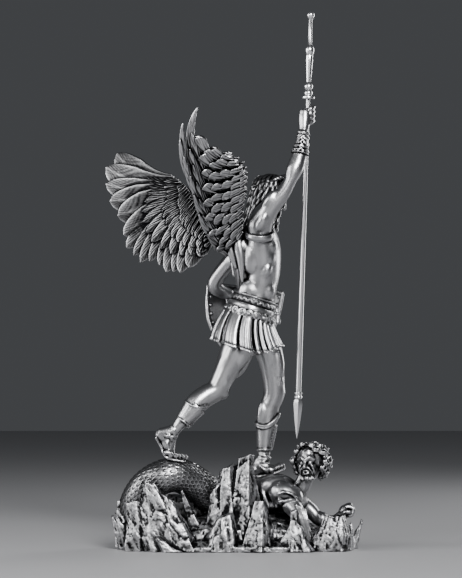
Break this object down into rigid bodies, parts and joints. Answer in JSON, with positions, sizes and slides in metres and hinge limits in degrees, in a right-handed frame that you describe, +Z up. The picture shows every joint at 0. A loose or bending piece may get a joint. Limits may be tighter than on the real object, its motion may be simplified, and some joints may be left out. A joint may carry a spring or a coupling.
{
  "type": "archangel michael statue",
  "caption": "Cast statuette of an armoured winged archangel treading on a fallen demon on a rocky base, with a spear held upright in the raised fist.",
  "frame": {"origin": "on the flat underside of the base, at the middle of the base's ground plate", "axes": "+X the way the figure faces, +Y away from the side that is seen first (the figure's left), +Z up"},
  "size_m": [0.1838, 0.115, 0.3754],
  "materials": {
    "cast_pewter": "dark antiqued silver, with bright worn edges and blackened hollows",
    "spear_pewter": "antiqued silver, a little brighter than the casting"
  },
  "bodies": {
    "root": {"statue": "cast_pewter", "spear": "spear_pewter"}
  },
  "joints": []
}
